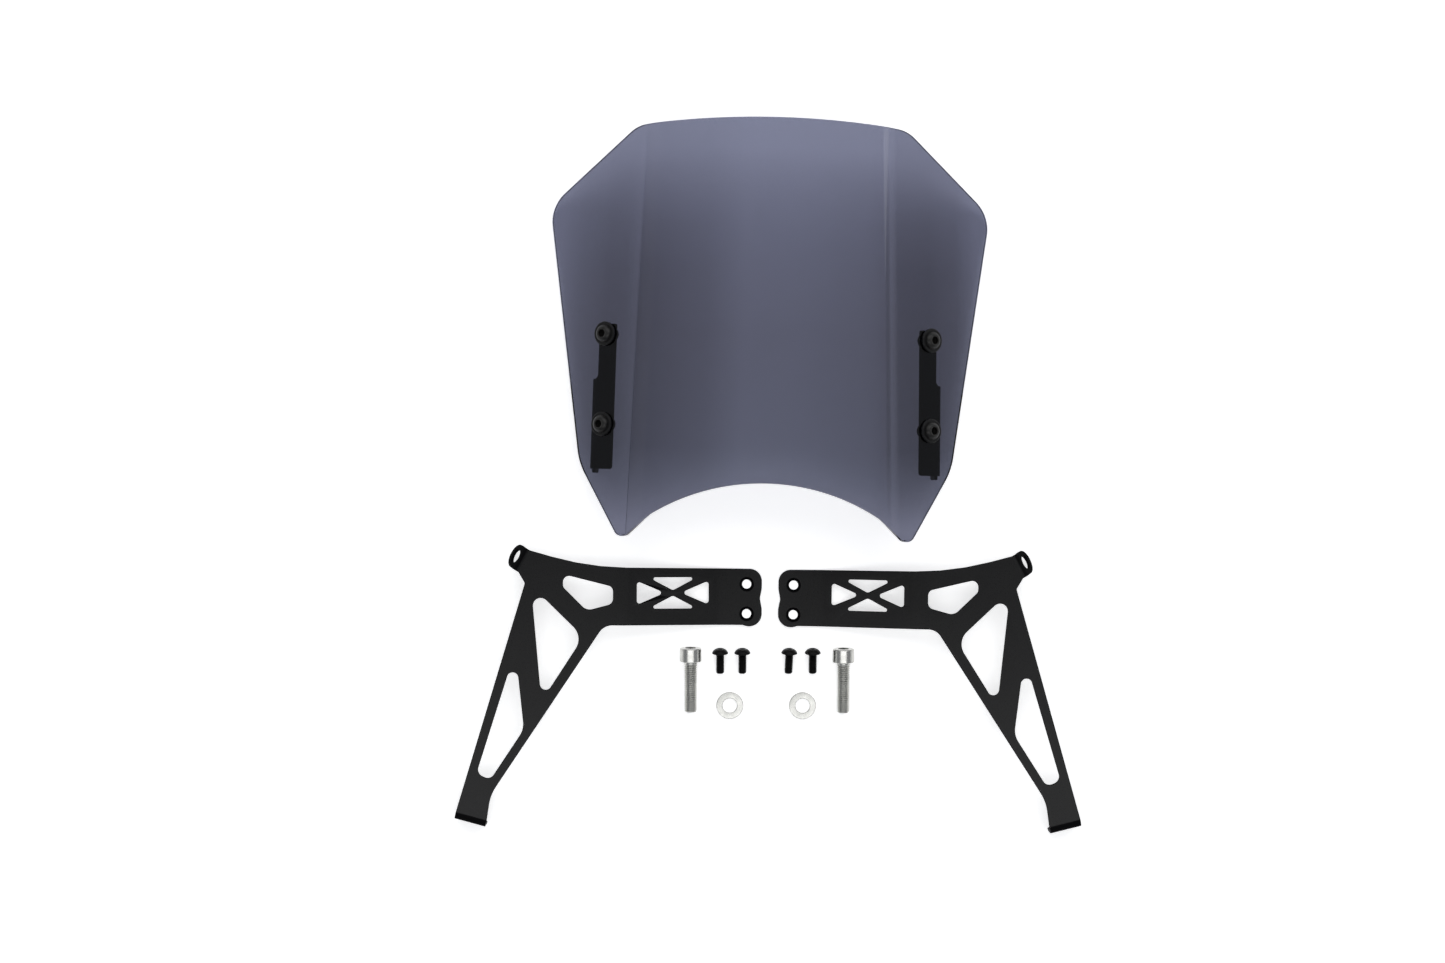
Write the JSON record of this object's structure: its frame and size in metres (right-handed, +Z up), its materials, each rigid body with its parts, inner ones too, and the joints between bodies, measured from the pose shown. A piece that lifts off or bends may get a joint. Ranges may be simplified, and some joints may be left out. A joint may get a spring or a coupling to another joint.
{
  "type": "motorcycle windshield screen",
  "caption": "Smoke-tinted motorcycle windshield screen with adapter brackets, laid flat beside its two side arms, screws and washers.",
  "frame": {"origin": "on the table, under the middle of the whole laid-out kit", "axes": "+X to the right, +Y towards the screen's top edge, +Z up from the table; the screen's front face looks along +Z"},
  "size_m": [0.3678, 0.4146, 0.0491],
  "materials": {
    "smoke_tinted_sheet": "clear smoke tint, polished",
    "black_powder_coat": "satin fine-texture powder coat",
    "black_oxide_steel": "black oxide",
    "zinc_plated_steel": "bright zinc plate",
    "black_nylon": "moulded",
    "black_rubber": "moulded"
  },
  "bodies": {
    "screen_assembly": {"screen": "smoke_tinted_sheet", "adapter_bracket_left": "black_powder_coat", "adapter_bracket_right": "black_powder_coat", "head_washer_left_upper": "black_nylon", "head_washer_left_lower": "black_nylon", "head_washer_right_upper": "black_nylon", "head_washer_right_lower": "black_nylon", "screen_screw_left_upper": "black_oxide_steel", "screen_screw_left_lower": "black_oxide_steel", "screen_screw_right_upper": "black_oxide_steel", "screen_screw_right_lower": "black_oxide_steel", "isolating_pad_left_upper": "black_rubber", "isolating_pad_left_lower": "black_rubber", "isolating_pad_right_upper": "black_rubber", "isolating_pad_right_lower": "black_rubber", "screen_nut_left_upper": "black_oxide_steel", "screen_nut_left_lower": "black_oxide_steel", "screen_nut_right_upper": "black_oxide_steel", "screen_nut_right_lower": "black_oxide_steel", "arm_nut_left_upper": "black_oxide_steel", "arm_nut_left_lower": "black_oxide_steel", "arm_nut_right_upper": "black_oxide_steel", "arm_nut_right_lower": "black_oxide_steel"},
    "left_arm": {"arm_left": "black_powder_coat"},
    "right_arm": {"arm_right": "black_powder_coat"},
    "left_cap_screw": {"cap_screw_left": "zinc_plated_steel"},
    "right_cap_screw": {"cap_screw_right": "zinc_plated_steel"},
    "left_washer": {"plain_washer_left": "zinc_plated_steel"},
    "right_washer": {"plain_washer_right": "zinc_plated_steel"},
    "button_screw_1_body": {"button_screw_1": "black_oxide_steel"},
    "button_screw_2_body": {"button_screw_2": "black_oxide_steel"},
    "button_screw_3_body": {"button_screw_3": "black_oxide_steel"},
    "button_screw_4_body": {"button_screw_4": "black_oxide_steel"}
  },
  "joints": [
    {"name": "lift_left_arm", "type": "slide", "parent": "screen_assembly", "child": "left_arm", "axis": [0, 0, 1], "range_m": [0, 0.08]},
    {"name": "lift_right_arm", "type": "slide", "parent": "screen_assembly", "child": "right_arm", "axis": [0, 0, 1], "range_m": [0, 0.08]},
    {"name": "lift_left_cap_screw", "type": "slide", "parent": "screen_assembly", "child": "left_cap_screw", "axis": [0, 0, 1], "range_m": [0, 0.08]},
    {"name": "lift_right_cap_screw", "type": "slide", "parent": "screen_assembly", "child": "right_cap_screw", "axis": [0, 0, 1], "range_m": [0, 0.08]},
    {"name": "lift_left_washer", "type": "slide", "parent": "screen_assembly", "child": "left_washer", "axis": [0, 0, 1], "range_m": [0, 0.08]},
    {"name": "lift_right_washer", "type": "slide", "parent": "screen_assembly", "child": "right_washer", "axis": [0, 0, 1], "range_m": [0, 0.08]},
    {"name": "lift_button_screw_1", "type": "slide", "parent": "screen_assembly", "child": "button_screw_1_body", "axis": [0, 0, 1], "range_m": [0, 0.08]},
    {"name": "lift_button_screw_2", "type": "slide", "parent": "screen_assembly", "child": "button_screw_2_body", "axis": [0, 0, 1], "range_m": [0, 0.08]},
    {"name": "lift_button_screw_3", "type": "slide", "parent": "screen_assembly", "child": "button_screw_3_body", "axis": [0, 0, 1], "range_m": [0, 0.08]},
    {"name": "lift_button_screw_4", "type": "slide", "parent": "screen_assembly", "child": "button_screw_4_body", "axis": [0, 0, 1], "range_m": [0, 0.08]}
  ]
}
